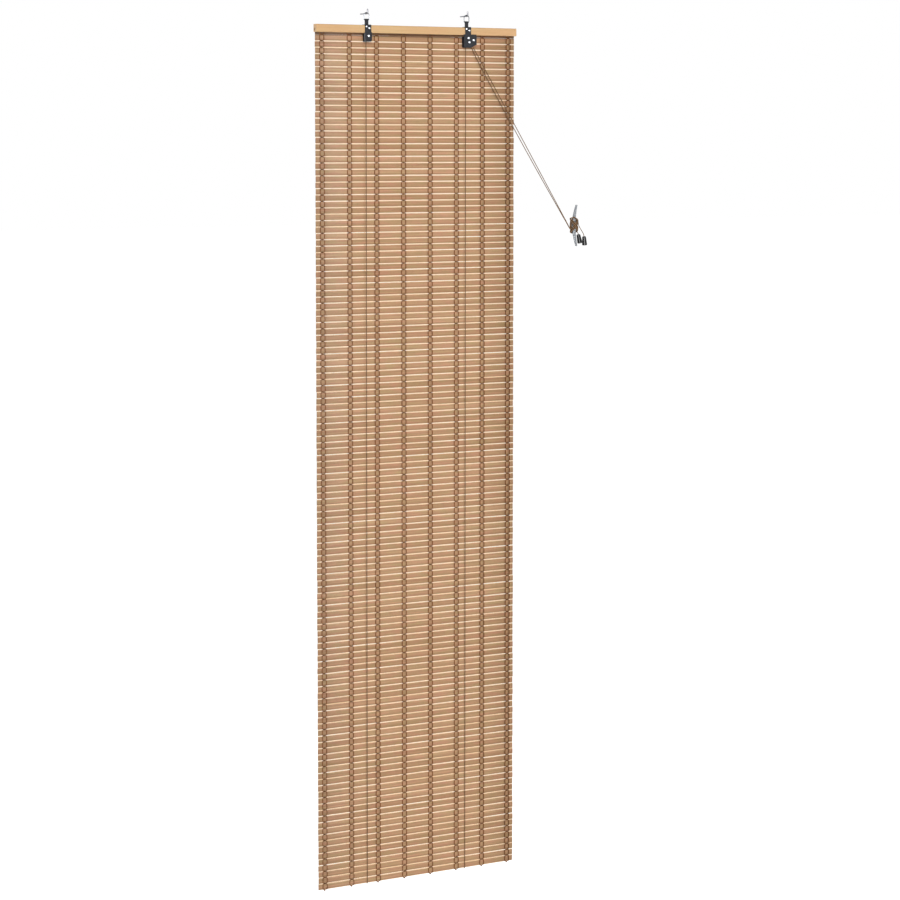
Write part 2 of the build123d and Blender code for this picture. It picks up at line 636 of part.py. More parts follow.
def cleat_form(grow):
    """The cleat's form: a base, a neck and two horns that lean out, grown all round by a clearance."""
    tip = CLEAT_LENGTH / 2 + grow
    neck = CLEAT_NECK_HEIGHT / 2 + grow
    base = CLEAT_BASE_HEIGHT / 2 + grow
    tip_rear = CLEAT_TIP_THICKNESS - CLEAT_TIP_OUT + grow
    horn_bow = (CLEAT_NECK_OUT + CLEAT_TIP_OUT - CLEAT_TIP_THICKNESS) / 2 - CLEAT_HORN_BOW
    with BuildPart() as form:
        with BuildSketch(Plane.YZ.offset(CLEAT_X)):
            with BuildLine():
                ThreePointArc(
                    (-CLEAT_TIP_OUT - grow, CLEAT_Z + tip),
                    (-CLEAT_MIDDLE_OUT - grow, CLEAT_Z),
                    (-CLEAT_TIP_OUT - grow, CLEAT_Z - tip),
                )
                for side in (-1, 1):
                    Line((-CLEAT_TIP_OUT - grow, CLEAT_Z + side * tip), (tip_rear, CLEAT_Z + side * tip))
                    ThreePointArc(
                        (tip_rear, CLEAT_Z + side * tip),
                        (grow - horn_bow, CLEAT_Z + side * (tip + neck) / 2),
                        (grow - CLEAT_NECK_OUT, CLEAT_Z + side * neck),
                    )
                    Polyline(
                        (grow - CLEAT_NECK_OUT, CLEAT_Z + side * neck),
                        (-CLEAT_BASE_LIP - grow, CLEAT_Z + side * base),
                        (0, CLEAT_Z + side * base),
                    )
                Line((0, CLEAT_Z - base), (0, CLEAT_Z + base))
            make_face()
        extrude(amount=CLEAT_WIDTH, both=True)
        with BuildSketch(facing(0)):
            with BuildLine():
                for side in (-1, 1):
                    ThreePointArc(
                        (CLEAT_X + side * (CLEAT_TIP_WIDTH / 2 + grow), CLEAT_Z + tip),
                        (CLEAT_X + side * (CLEAT_WIDTH / 2 + grow), CLEAT_Z),
                        (CLEAT_X + side * (CLEAT_TIP_WIDTH / 2 + grow), CLEAT_Z - tip),
                    )
                    Line(
                        (CLEAT_X - CLEAT_TIP_WIDTH / 2 - grow, CLEAT_Z + side * tip),
                        (CLEAT_X + CLEAT_TIP_WIDTH / 2 + grow, CLEAT_Z + side * tip),
                    )
            make_face()
        extrude(amount=CLEAT_TIP_OUT + CLEAT_WIDTH, mode=Mode.INTERSECT)
    return form.part


HOLE_PLACES = [(CLEAT_X, CLEAT_Z + side * CLEAT_HOLE_SPACING / 2) for side in (-1, 1)]
with BuildPart() as wall_cleat:
    add(cleat_form(0))
    fillet(wall_cleat.edges().sort_by(SortBy.LENGTH)[-2:], radius=CLEAT_EDGE)
    drill(HOLE_PLACES, CLEAT_HOLE_RADIUS, -CLEAT_TIP_OUT, CLEAT_TIP_OUT)
save(wall_cleat.part, "wall_cleat")

# The turns of cord on the cleat, as the closed form of the whole bundle
with BuildPart() as cleat_turns:
    with BuildSketch(facing(-WRAP_REAR)):
        with Locations((CLEAT_X, CLEAT_Z)):
            RectangleRounded(WRAP_WIDTH, WRAP_HEIGHT, WRAP_ROUND)
    extrude(amount=WRAP_FRONT - WRAP_REAR)
    chamfer(cleat_turns.faces().filter_by(Axis.Y).edges(), length=WRAP_EDGE)
    add(cleat_form(GAP), mode=Mode.SUBTRACT)
save(cleat_turns.part, "cleat_turns")

# Cord tails and the weights that hang on them
WEIGHT_BORE = CORD_RADIUS + GAP
for number, (start, top, foot) in enumerate(zip(TAIL_STARTS, WEIGHT_TOPS, WEIGHT_FEET), 1):
    hang = Plane(origin=top, z_dir=Vector(*top) - Vector(*foot))
    knot = hang.offset(-WEIGHT_BORE_LENGTH - GAP)
    bend = hang.offset(TAIL_BEND_UP).origin
    with BuildPart() as tail:
        with BuildSketch(knot):
            Circle(CORD_RADIUS)
        extrude(amount=(bend - knot.origin).length)
        with Locations(bend):
            Sphere(CORD_RADIUS)
        with BuildSketch(Plane(origin=bend, z_dir=Vector(*start) - bend)):
            Circle(CORD_RADIUS)
        extrude(amount=(Vector(*start) - bend).length)
        with BuildSketch(knot):
            RegularPolygon(TAIL_KNOT_RADIUS, 6)
        extrude(amount=-TAIL_KNOT_LENGTH)
    save(tail.part, f"cord_tail_{number}")
    with BuildPart() as weight:
        with BuildSketch(hang):
            Circle(WEIGHT_TOP_RADIUS)
        with BuildSketch(hang.offset(-WEIGHT_LENGTH)):
            Circle(WEIGHT_RADIUS)
        loft()
        chamfer(weight.edges().filter_by(GeomType.CIRCLE), length=WEIGHT_EDGE)
        with BuildSketch(hang):
            Circle(WEIGHT_BORE)
        extrude(amount=-WEIGHT_LENGTH, mode=Mode.SUBTRACT)
        with BuildSketch(hang.offset(-WEIGHT_BORE_LENGTH)):
            Circle(WEIGHT_CAVITY_RADIUS)
        extrude(amount=-WEIGHT_LENGTH, mode=Mode.SUBTRACT)
    save(weight.part, f"cord_weight_{number}")
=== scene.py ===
"""Dresses the roll-up blind: bamboo slats, twine warps, cords, wood, metal and plastic finishes.

Lengths are in metres in the part's own frame: X along the rail, Y into the wall, Z up.
"""

import json
import math

import bpy
import numpy as np
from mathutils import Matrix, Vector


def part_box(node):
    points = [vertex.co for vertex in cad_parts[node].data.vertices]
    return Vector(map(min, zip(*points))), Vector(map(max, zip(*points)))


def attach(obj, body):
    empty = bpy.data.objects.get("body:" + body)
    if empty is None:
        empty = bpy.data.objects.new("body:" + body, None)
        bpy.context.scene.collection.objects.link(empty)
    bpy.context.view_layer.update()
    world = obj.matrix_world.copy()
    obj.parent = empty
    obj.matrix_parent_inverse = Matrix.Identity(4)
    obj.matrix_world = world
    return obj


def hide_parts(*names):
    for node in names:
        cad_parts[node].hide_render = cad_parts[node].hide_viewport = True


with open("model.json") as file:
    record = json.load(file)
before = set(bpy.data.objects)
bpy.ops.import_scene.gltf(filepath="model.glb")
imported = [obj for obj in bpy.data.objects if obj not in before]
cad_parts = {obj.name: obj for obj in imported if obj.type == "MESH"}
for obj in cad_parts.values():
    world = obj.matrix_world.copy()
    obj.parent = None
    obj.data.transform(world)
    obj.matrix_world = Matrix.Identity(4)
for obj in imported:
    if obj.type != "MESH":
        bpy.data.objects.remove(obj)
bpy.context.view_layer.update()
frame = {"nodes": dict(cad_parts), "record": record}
nodes = frame["nodes"]
rng = np.random.default_rng(7)

# The mat's place, from the frame's nodes
MAT_LOW, MAT_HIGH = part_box("upper_slats")
MAT_HALF = MAT_HIGH[0]
MAT_TOP = MAT_HIGH[2]
MAT_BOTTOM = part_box("lower_slats")[0][2]
WARP_PLACES = [sum(corner[0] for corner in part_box(f"warp_{n}")) / 2 for n in range(1, 9)]

# Slats, a little wider than the solids so that the gaps look as narrow as in the photograph
SLAT_COUNT = 137
UPPER_COUNT = 69
SLAT_PITCH = 0.016
SLAT_WIDTH = 0.0155
CAD_SLAT_WIDTH = 0.015
CAD_GAP = SLAT_PITCH - CAD_SLAT_WIDTH
SLAT_THICKNESS = 0.0024
SLAT_FRONT = MAT_LOW[1]
SLAT_MID = SLAT_FRONT + SLAT_THICKNESS / 2
SLAT_REAR = SLAT_FRONT + SLAT_THICKNESS
SLAT_SIDES = 12
SLAT_STATIONS = 5
SLAT_WIDTH_SPREAD = 0.02
SLAT_LEAN = 0.00022
SLAT_WAVE = 0.00016
SLAT_SHORTEST_BY = 0.0012

# Twine and cord
TWINE_RADIUS = 0.0011
TWINE_SPREAD = 0.0063
TWINE_SIDES = 5
TWINE_STEPS = 8
TWINE_PAST_MAT = 0.0008
TIE_SIZE = (0.0034, 0.0016, 0.0018)
TIE_FORWARD = 0.0008
TIE_GRID = (5, 6)
TIE_RIPPLE = 0.1
KNOT_SIZE = (0.0024, 0.0022, 0.0021)
KNOT_BELOW_MAT = 0.0018
KNOT_GRID = (8, 10)
KNOT_RIPPLE = 0.12
BALL_POLE = 0.12
CORD_DIAMETER = 0.002


def linear(red, green, blue):
    """A display colour of 0 to 255 as a linear colour with alpha."""
    shown = np.array([red, green, blue]) / 255
    light = np.where(shown <= 0.04045, shown / 12.92, ((shown + 0.055) / 1.055) ** 2.4)
    return (*light.tolist(), 1.0)


# Meshes from grids

def tube_faces(count, stations, around, start=0):
    """Faces of count tubes, one after another: grids of stations by around, closed at both ends.

    Start is the number of the first tube's first point.
    """
    first = start + np.arange(count)[:, None] * stations * around
    side = np.arange(around)
    beside = (side + 1) % around
    low = first[:, :, None] + np.arange(stations - 1)[:, None] * around
    quads = np.stack([low + side, low + beside, low + around + beside, low + around + side], axis=-1)
    near = first + side[::-1]
    far = first + (stations - 1) * around + side
    return quads.reshape(-1, 4).tolist() + near.tolist() + far.tolist()


def sweep(paths, radius, around, upright):
    """Rings of a round section square to each path: point + radius (cos a N + sin a B).

    N is tangent x upright, and B is tangent x N.
    """
    tangent = np.gradient(paths, axis=1)
    tangent /= np.linalg.norm(tangent, axis=2, keepdims=True)
    across = np.cross(tangent, upright)
    across /= np.linalg.norm(across, axis=2, keepdims=True)
    other = np.cross(tangent, across)
    angle = np.arange(around) / around * 2 * np.pi
    ring = np.cos(angle)[:, None] * across[:, :, None, :] + np.sin(angle)[:, None] * other[:, :, None, :]
    return paths[:, :, None, :] + radius * ring


def ball_grid(centres, size, rings, around, ripple):
    """Rippled ellipsoids: centre + size (sin p cos a, sin p sin a, -cos p) (1 + ripple sin(3 a + 5 p))."""
    polar = np.linspace(BALL_POLE, np.pi - BALL_POLE, rings)[:, None]
    angle = (np.arange(around) / around * 2 * np.pi)[None, :]
    swell = 1 + ripple * np.sin(3 * angle + 5 * polar)
    parts = [np.sin(polar) * np.cos(angle), np.sin(polar) * np.sin(angle), -np.cos(polar) + 0 * angle]
    shape = np.stack(parts, axis=-1)
    return np.asarray(centres)[:, None, None, :] + np.asarray(size) * swell[..., None] * shape


def make_piece(name, points, faces, material, slot, **values):
    """A smooth mesh piece on the blind's body, with a float attribute on its points for each named value."""
    mesh = bpy.data.meshes.new(name)
    mesh.from_pydata(points.reshape(-1, 3).tolist(), [], faces)
    for key, value in values.items():
        layer = mesh.attributes.new(key, "FLOAT", "POINT")
        layer.data.foreach_set("value", np.ravel(value).astype(np.float32))
    mesh.polygons.foreach_set("use_smooth", np.full(len(mesh.polygons), True))
    mesh.materials.append(material)
    mesh.update()
    piece = bpy.data.objects.new(name, mesh)
    bpy.context.collection.objects.link(piece)
    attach(piece, "blind")
    return piece


# Node helpers

def new_group(name, inputs, outputs):
    """An empty shader group with float, colour and vector sockets; inputs carry their default value."""
    group = bpy.data.node_groups.new(name, "ShaderNodeTree")
    for label, kind, value in inputs:
        socket = group.interface.new_socket(label, in_out="INPUT", socket_type="NodeSocket" + kind)
        if value is not None:
            socket.default_value = value
    for label, kind in outputs:
        group.interface.new_socket(label, in_out="OUTPUT", socket_type="NodeSocket" + kind)
    return group, group.nodes.new("NodeGroupInput"), group.nodes.new("NodeGroupOutput")


def feed(tree, socket, value):
    """Links another node's socket to a socket, or sets the socket to a plain value."""
    if isinstance(value, bpy.types.NodeSocket):
        tree.links.new(value, socket)
    else:
        socket.default_value = value


def add_node(tree, kind, links=(), **settings):
    """A node with settings; links pairs an input's name or number with a value or another node's socket."""
    node = tree.nodes.new("ShaderNode" + kind)
    for key, value in settings.items():
        setattr(node, key, value)
    for key, value in dict(links).items():
        feed(tree, node.inputs[key], value)
    return node


def reckon(tree, operation, *values):
    """The result of a Math node with the given values."""
    return add_node(tree, "Math", dict(enumerate(values)), operation=operation).outputs[0]


def attribute(tree, name):
    """The value that a piece's points carry under a name."""
    return add_node(tree, "Attribute", attribute_name=name).outputs["Fac"]


def scaled(tree, vector, scale):
    """The vector stretched by a scale along each axis."""
    return add_node(tree, "Mapping", {"Vector": vector, "Scale": scale}).outputs["Vector"]


def noise(tree, vector, scale, detail=2.0, rough=0.5):
    """A noise value from 0 to 1."""
    links = {"Vector": vector, "Scale": scale, "Detail": detail, "Roughness": rough}
    return add_node(tree, "TexNoise", links).outputs["Fac"]


def span(tree, value, low, high, to_low=0.0, to_high=1.0):
    """The value carried from low..high to to_low..to_high and held there."""
    links = {"Value": value, 1: low, 2: high, 3: to_low, 4: to_high}
    return add_node(tree, "MapRange", links).outputs["Result"]


def blend(tree, factor, first, second):
    """Two colours mixed by a factor; a Mix node's colours are its inputs 6 and 7 and its output 2."""
    mix = add_node(tree, "Mix", data_type="RGBA")
    for number, value in ((0, factor), (6, first), (7, second)):
        feed(tree, mix.inputs[number], value)
    return mix.outputs[2]


def place(tree, group, links):
    """A shader group's node in a tree."""
    node = tree.nodes.new("ShaderNodeGroup")
    node.node_tree = group
    for key, value in links.items():
        feed(tree, node.inputs[key], value)
    return node


def make_grain_group():
    """Fine streaks along X, broad patches and pores for cut wood and bamboo.

    Shift parts the grain of one slat from the next.
    """
    group, enter, leave = new_group(
        "Wood streaks",
        [
            ("Vector", "Vector", None), ("Shift", "Float", 0.0),
            ("Fineness", "Float", 700.0), ("Patch", "Float", 9.0),
        ],
        [("Streaks", "Float"), ("Patches", "Float"), ("Pores", "Float")],
    )
    shift = enter.outputs["Shift"]
    aside = add_node(group, "CombineXYZ", {"X": shift, "Y": shift}).outputs[0]
    both = {0: enter.outputs["Vector"], 1: aside}
    moved = add_node(group, "VectorMath", both, operation="ADD").outputs[0]
    fine = noise(group, scaled(group, moved, (0.02, 1.0, 1.0)), enter.outputs["Fineness"], 3.0, 0.65)
    wide = noise(group, scaled(group, moved, (1.0, 0.5, 6.0)), enter.outputs["Patch"], 2.0)
    pores = noise(group, scaled(group, moved, (0.12, 1.0, 1.0)), 1900.0, 1.0)
    group.links.new(span(group, fine, 0.3, 0.7), leave.inputs["Streaks"])
    group.links.new(span(group, wide, 0.32, 0.68), leave.inputs["Patches"])
    group.links.new(span(group, pores, 0.6, 0.72), leave.inputs["Pores"])
    return group


def make_surface_group():
    """Cloudy smudges and fine specks that vary a plain finish's colour, roughness and height."""
    group, enter, leave = new_group(
        "Used surface",
        [("Vector", "Vector", None), ("Cloud", "Float", 120.0), ("Speck", "Float", 1500.0)],
        [("Clouds", "Float"), ("Specks", "Float")],
    )
    clouds = noise(group, enter.outputs["Vector"], enter.outputs["Cloud"], 4.0, 0.6)
    specks = noise(group, enter.outputs["Vector"], enter.outputs["Speck"], 2.0, 0.6)
    group.links.new(span(group, clouds, 0.3, 0.7), leave.inputs["Clouds"])
    group.links.new(span(group, specks, 0.35, 0.65), leave.inputs["Specks"])
    return group


def make_twist_group():
    """Slanted plies of a twisted or braided line: sin(2 pi (x slope + y + z) / lay), and loose fibres."""
    group, enter, leave = new_group(
        "Twisted plies",
        [("Vector", "Vector", None), ("Lay", "Float", 0.0022), ("Slope", "Float", 1.2)],
        [("Plies", "Float"), ("Fibres", "Float")],
    )
    parts = add_node(group, "SeparateXYZ", {0: enter.outputs["Vector"]}).outputs
    lean = reckon(group, "MULTIPLY", parts["X"], enter.outputs["Slope"])
    along = reckon(group, "ADD", parts["Z"], reckon(group, "ADD", parts["Y"], lean))
    count = reckon(group, "DIVIDE", along, enter.outputs["Lay"])
    wave = reckon(group, "SINE", reckon(group, "MULTIPLY", count, 2 * math.pi))
    fibres = noise(group, enter.outputs["Vector"], 2600.0, 2.0, 0.6)
    group.links.new(span(group, wave, -0.8, 0.8), leave.inputs["Plies"])
    group.links.new(span(group, fibres, 0.3, 0.7), leave.inputs["Fibres"])
    return group


grain_group = make_grain_group()
surface_group = make_surface_group()
twist_group = make_twist_group()


def new_material(name):
    """A material with a Principled shader; returns it with its tree, shader and object coordinates."""
    material = bpy.data.materials.new(name)
    material.use_nodes = True
    tree = material.node_tree
    shader = tree.nodes["Principled BSDF"]
    where = tree.nodes.new("ShaderNodeTexCoord").outputs["Object"]
    return material, tree, shader, where


def emboss(tree, shader, height, strength, distance):
    """Bump from a height value."""
    bump = add_node(tree, "Bump", {"Strength": strength, "Distance": distance, "Height": height})
    tree.links.new(bump.outputs["Normal"], shader.inputs["Normal"])


BAMBOO = {
    "rosy": linear(214, 151, 121),
    "olive": linear(190, 161, 111),
    "deep": linear(180, 143, 107),
    "light": linear(212, 175, 137),
    "streak": linear(140, 101, 68),
    "pore": linear(96, 62, 38),
    # Painted shade for the lower, downward-facing part of each slat.
    "low edge": linear(129, 92, 63),
    # Pale rounded edges: partly the bamboo's own paler edge, partly a painted highlight of light caught on
    # the rounding.
    "pale edge and highlight": linear(255, 222, 180),
    # Painted shadow of the head rail on the slats just under it.
    "painted rail shadow": linear(92, 62, 46),
}
RAIL = {
    "gold": linear(217, 171, 118),
    "straw": linear(219, 183, 128),
    "streak": linear(194, 142, 84),
    "pore": linear(158, 106, 58),
}
# Painted shade for the twine ties that sit in the gaps between slats.
GAP_SHADED_TIE = linear(64, 48, 38)


def make_bamboo():
    """Stained bamboo: rosy and olive patches, fine streaks and pale rounded edges with a painted highlight,
    painted shade on each slat's lower part, and the rail's painted shadow under the rail.
    """
    material, tree, shader, where = new_material("Stained bamboo")
    tone = attribute(tree, "tone")
    across = attribute(tree, "across")
    shift = reckon(tree, "MULTIPLY", tone, 37.0)
    links = {"Vector": where, "Shift": shift, "Fineness": 300.0, "Patch": 22.0}
    grain = place(tree, grain_group, links).outputs
    patched = blend(tree, grain["Patches"], BAMBOO["rosy"], BAMBOO["olive"])
    toned = blend(tree, tone, BAMBOO["deep"], BAMBOO["light"])
    body = blend(tree, 0.45, patched, toned)
    streaked = blend(tree, span(tree, grain["Streaks"], 0.0, 1.0, 0.46, 0.0), body, BAMBOO["streak"])
    pored = blend(tree, span(tree, grain["Pores"], 0.0, 1.0, 0.0, 0.35), streaked, BAMBOO["pore"])
    # Painted shade: each slat darkens towards its lower, downward-facing edge.
    low_edge_shaded = blend(tree, span(tree, across, -0.8, -0.3, 0.5, 0.0), pored, BAMBOO["low edge"])
    # Both rounded edges paled: partly own colour, partly painted highlight.
    edge = reckon(tree, "ABSOLUTE", across)
    edge_paled_and_lit = blend(tree, span(tree, edge, 0.79, 0.84), low_edge_shaded, BAMBOO["pale edge and highlight"])
    # Painted shadow of the head rail: the first slat and the second slat's top band go dark.
    dark = span(tree, attribute(tree, "rail_shadow_paint"), 0.0, 1.0, 0.0, 0.8)
    tree.links.new(blend(tree, dark, edge_paled_and_lit, BAMBOO["painted rail shadow"]), shader.inputs["Base Color"])
    shader.inputs["Specular IOR Level"].default_value = 0.15
    tree.links.new(span(tree, grain["Streaks"], 0.0, 1.0, 0.62, 0.48), shader.inputs["Roughness"])
    emboss(tree, shader, grain["Streaks"], 0.35, 0.0004)
    return material


def make_rail_wood():
    """Pale varnished wood with long golden grain."""
    material, tree, shader, where = new_material("Varnished rail wood")
    grain = place(tree, grain_group, {"Vector": where, "Fineness": 420.0, "Patch": 5.0}).outputs
    body = blend(tree, grain["Patches"], RAIL["gold"], RAIL["straw"])
    streaked = blend(tree, span(tree, grain["Streaks"], 0.0, 1.0, 0.4, 0.0), body, RAIL["streak"])
    pored = blend(tree, span(tree, grain["Pores"], 0.0, 1.0, 0.0, 0.25), streaked, RAIL["pore"])
    tree.links.new(pored, shader.inputs["Base Color"])
    tree.links.new(span(tree, grain["Streaks"], 0.0, 1.0, 0.5, 0.36), shader.inputs["Roughness"])
    shader.inputs["Coat Weight"].default_value = 0.15
    emboss(tree, shader, grain["Streaks"], 0.2, 0.0003)
    return material


def make_line(name, light, dark, lay, slope):
    """A twisted or braided line with light plies, grooves darkened as painted shade and loose fibres, and
    painted shade on its ties in the gaps between slats.
    """
    material, tree, shader, where = new_material(name)
    twist = place(tree, twist_group, {"Vector": where, "Lay": lay, "Slope": slope})
    # The dark grooves between the plies are painted shade.
    groove_shaded = blend(tree, twist.outputs["Plies"], dark, light)
    hairy = blend(tree, span(tree, twist.outputs["Fibres"], 0.0, 1.0, 0.4, 0.0), groove_shaded, dark)
    # Painted shade on the ties in the gaps between slats.
    tie = span(tree, attribute(tree, "tie"), 0.0, 1.0, 0.0, 0.6)
    tree.links.new(blend(tree, tie, hairy, GAP_SHADED_TIE), shader.inputs["Base Color"])
    tree.links.new(span(tree, twist.outputs["Fibres"], 0.0, 1.0, 0.95, 0.75), shader.inputs["Roughness"])
    shader.inputs["Specular IOR Level"].default_value = 0.1
    emboss(tree, shader, twist.outputs["Plies"], 0.6, 0.0003)
    return material


def make_finish(name, light, dark, rough, metallic=0.0, coat=0.0, bump=0.1, shine=0.5):
    """A metal, enamel or plastic finish whose colour and roughness vary in clouds and specks."""
    material, tree, shader, where = new_material(name)
    used = place(tree, surface_group, {"Vector": where}).outputs
    clouded = blend(tree, used["Clouds"], dark, light)
    specked = blend(tree, span(tree, used["Specks"], 0.0, 1.0, 0.0, 0.3), clouded, dark)
    tree.links.new(specked, shader.inputs["Base Color"])
    worn = span(tree, used["Clouds"], 0.0, 1.0, rough * 1.3, rough * 0.8)
    tree.links.new(worn, shader.inputs["Roughness"])
    shader.inputs["Metallic"].default_value = metallic
    shader.inputs["Coat Weight"].default_value = coat
    shader.inputs["Specular IOR Level"].default_value = shine
    emboss(tree, shader, used["Specks"], bump, 0.0001)
    return material


# Each slot's name, light colour, dark colour and settings
FINISHES = {
    "black_sheet": (
        "Black enamelled sheet", (40, 43, 50), (20, 21, 25), dict(rough=0.36, bump=0.25, shine=0.25)
    ),
    "bright_steel": ("Bright zinc", (226, 228, 232), (176, 180, 186), dict(rough=0.24, metallic=1.0)),
    "hook_steel": ("Grey zinc wire", (118, 118, 121), (84, 84, 88), dict(rough=0.34, metallic=1.0)),
    "ring_wire": ("Bright nickel wire", (122, 124, 128), (88, 91, 96), dict(rough=0.18, metallic=1.0)),
    "wheel_plastic": ("Moulded black plastic", (54, 54, 56), (36, 36, 38), dict(rough=0.5)),
    "cam_brass": ("Cast brass", (206, 176, 104), (160, 128, 66), dict(rough=0.36, metallic=1.0)),
    "cleat_metal": (
        "Grey satin metal", (146, 150, 155), (130, 134, 139),
        dict(rough=0.36, metallic=0.15, coat=0.1, bump=0.03),
    ),
    "weight_black": (
        "Gloss black plastic", (14, 14, 15), (6, 6, 7), dict(rough=0.16, bump=0.06, shine=0.22)
    ),
}

bamboo = make_bamboo()
rail_wood = make_rail_wood()
twine = make_line("Brown twine", linear(166, 112, 66), linear(116, 72, 40), 0.0019, 1.3)
cord = make_line("Braided cord", linear(160, 128, 96), linear(106, 80, 57), 0.0016, 1.0)
finishes = {
    slot: make_finish(name, linear(*light), linear(*dark), **settings)
    for slot, (name, light, dark, settings) in FINISHES.items()
}
finishes["rail_wood"] = rail_wood

# Finishes of the solids that stay
for subpart in frame["record"]["subparts"]:
    finish = finishes.get(subpart["material_slot"])
    if finish:
        nodes[subpart["node"]].data.materials.clear()
        nodes[subpart["node"]].data.materials.append(finish)


# Slats

def slat_run(first, count):
    """Slats along X of rounded section: depth h |cos a|^0.5, height w |sin a|^0.4, each a little askew.

    The mat's first slat is wider below, so that it closes the gap under it; it and the top band of the
    second slat are coloured with the rail's painted shadow.
    """
    around, stations = SLAT_SIDES, SLAT_STATIONS
    angle = (np.arange(around) + 0.5) / around * 2 * np.pi
    depth = np.sign(np.cos(angle)) * np.abs(np.cos(angle)) ** 0.5 * SLAT_THICKNESS / 2
    rise = np.sign(np.sin(angle)) * np.abs(np.sin(angle)) ** 0.4
    along = np.linspace(-1, 1, stations)
    shape = (count, stations, around)
    number = first + np.arange(count)[:, None, None]
    middle = MAT_TOP - CAD_SLAT_WIDTH / 2 - (first + np.arange(count)) * SLAT_PITCH
    half = SLAT_WIDTH / 2 * (1 + SLAT_WIDTH_SPREAD * rng.uniform(-1, 1, (count, stations, 1)))
    lean = SLAT_LEAN * rng.uniform(-1, 1, (count, 1, 1)) * along[None, :, None]
    wave = SLAT_WAVE * rng.uniform(-1, 1, (count, stations, 1))
    ends = MAT_HALF - SLAT_SHORTEST_BY * rng.uniform(0, 1, (count, 2))
    reach = np.where(along[None, :] < 0, ends[:, :1], ends[:, 1:]) * along[None, :]
    points = np.empty(shape + (3,))
    points[..., 0] = reach[:, :, None]
    points[..., 1] = SLAT_MID - depth[None, None, :]
    points[..., 2] = middle[:, None, None] + half * rise[None, None, :] + lean + wave
    points[..., 2] -= (SLAT_PITCH - SLAT_WIDTH) * (number == 0) * (rise < 0)
    tone = np.broadcast_to(rng.uniform(0, 1, (count, 1, 1)), shape)
    across = np.broadcast_to(rise[None, None, :], shape)
    # Marks for the rail's painted shadow: all of the first slat and the top band of the second.
    rail_shadow_paint = (number == 0) + (number == 1) * (across > 0.7)
    values = dict(tone=tone, across=across, rail_shadow_paint=rail_shadow_paint)
    return points, tube_faces(count, stations, around), values


slat_runs = (("upper_slats", 0, UPPER_COUNT), ("lower_slats", UPPER_COUNT, SLAT_COUNT - UPPER_COUNT))
for name, first, count in slat_runs:
    points, faces, values = slat_run(first, count)
    piece = make_piece(f"bamboo_{name}", points, faces, bamboo, "bamboo", **values)
    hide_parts(name)


# Twine warps

def warp_paths(x):
    """A warp's two front strands and its rear strand.

    The front strands part over each slat by 0.4 + 0.6 cos(pi s / 2)^0.14 of their spread, where s runs from
    -1 to 1 down the slat. Where |s| is over 0.8, all strands dip towards the gap.
    """
    place = np.arange(SLAT_COUNT * TWINE_STEPS + 1) / TWINE_STEPS
    within = 2 * (place % 1) - 1
    height = MAT_TOP + CAD_GAP / 2 - place * SLAT_PITCH
    height = np.clip(height, MAT_BOTTOM - TWINE_PAST_MAT, MAT_TOP)
    part = TWINE_SPREAD * (0.4 + 0.6 * np.clip(np.cos(np.pi * within / 2), 0, 1) ** 0.14)
    dip = np.clip((np.abs(within) - 0.8) / 0.2, 0, 1)
    front = SLAT_FRONT - TWINE_RADIUS + dip * (SLAT_MID - SLAT_FRONT)
    rear = SLAT_REAR + TWINE_RADIUS - dip * (SLAT_REAR - SLAT_MID) * 0.7
    left = np.stack([x - part, front, height], axis=1)
    right = np.stack([x + part, front, height], axis=1)
    back = np.stack([x + 0 * part, rear, height], axis=1)
    return np.stack([left, right, back])


def make_warp(number, x):
    """One warp: its three strands, a tie in each gap and a knot under the last slat."""
    paths = warp_paths(x)
    strands = sweep(paths, TWINE_RADIUS, TWINE_SIDES, (0.0, 1.0, 0.0))
    gaps = MAT_TOP - CAD_SLAT_WIDTH - CAD_GAP / 2 - np.arange(SLAT_COUNT - 1) * SLAT_PITCH
    spots = np.stack([np.full_like(gaps, x), np.full_like(gaps, SLAT_MID - TIE_FORWARD), gaps], axis=1)
    ties = ball_grid(spots, TIE_SIZE, *TIE_GRID, TIE_RIPPLE)
    knot_place = (x, SLAT_MID, MAT_BOTTOM - KNOT_BELOW_MAT)
    knot = ball_grid([knot_place], KNOT_SIZE, *KNOT_GRID, KNOT_RIPPLE)
    faces = []
    points = []
    tie = []
    start = 0
    for grid, tied in ((strands, 0.0), (ties, 1.0), (knot, 0.0)):
        faces += tube_faces(*grid.shape[:3], start)
        points.append(grid.reshape(-1, 3))
        tie.append(np.full(len(points[-1]), tied))
        start += len(points[-1])
    points, tie = np.concatenate(points), np.concatenate(tie)
    piece = make_piece(f"twine_{number}", points, faces, twine, "twine", tie=tie)
    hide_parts(f"warp_{number}")


for number, x in enumerate(WARP_PLACES, 1):
    make_warp(number, x)


# Cords

CLEAT = np.array([0.4912, 0.0, -0.542])
LEFT_LIFT_X = -0.1536
RIGHT_LIFT_X = 0.1462
ANCHOR_Y = -0.0045
ANCHOR_Z = -0.0525
CORD_BACK_Y = -0.009
CORD_FRONT_Y = -0.014
CORD_LOW_Z = -2.2308
CROSS_Z = -0.050
CROSS_SAG_X = 0.115
CROSS_SAG_Z = -0.0541
LEFT_PULLEY_Y = -0.01785
FRONT_GROOVE_Y = -0.0194
REAR_GROOVE_Y = -0.0163
LOCK_X = 0.1576
CAM_CORNER_Z = -0.0637
NEAR = 6 * CORD_DIAMETER
ANCHOR_KNOT = (0.0023, 0.0016, 0.0023)
WEIGHT_KNOT = (0.0022, 0.0022, 0.0019)

# The rear draw cord hangs a little to the lower left; each pair is a run from the cam and a share of the sag
DRAW_SIDE = np.array([-0.84, 0.0, -0.54])
DRAW_SLACK = ((NEAR, 0.5), (6 * NEAR, 1.0), (30 * NEAR, 0.8))
REAR_SAG = 0.0068

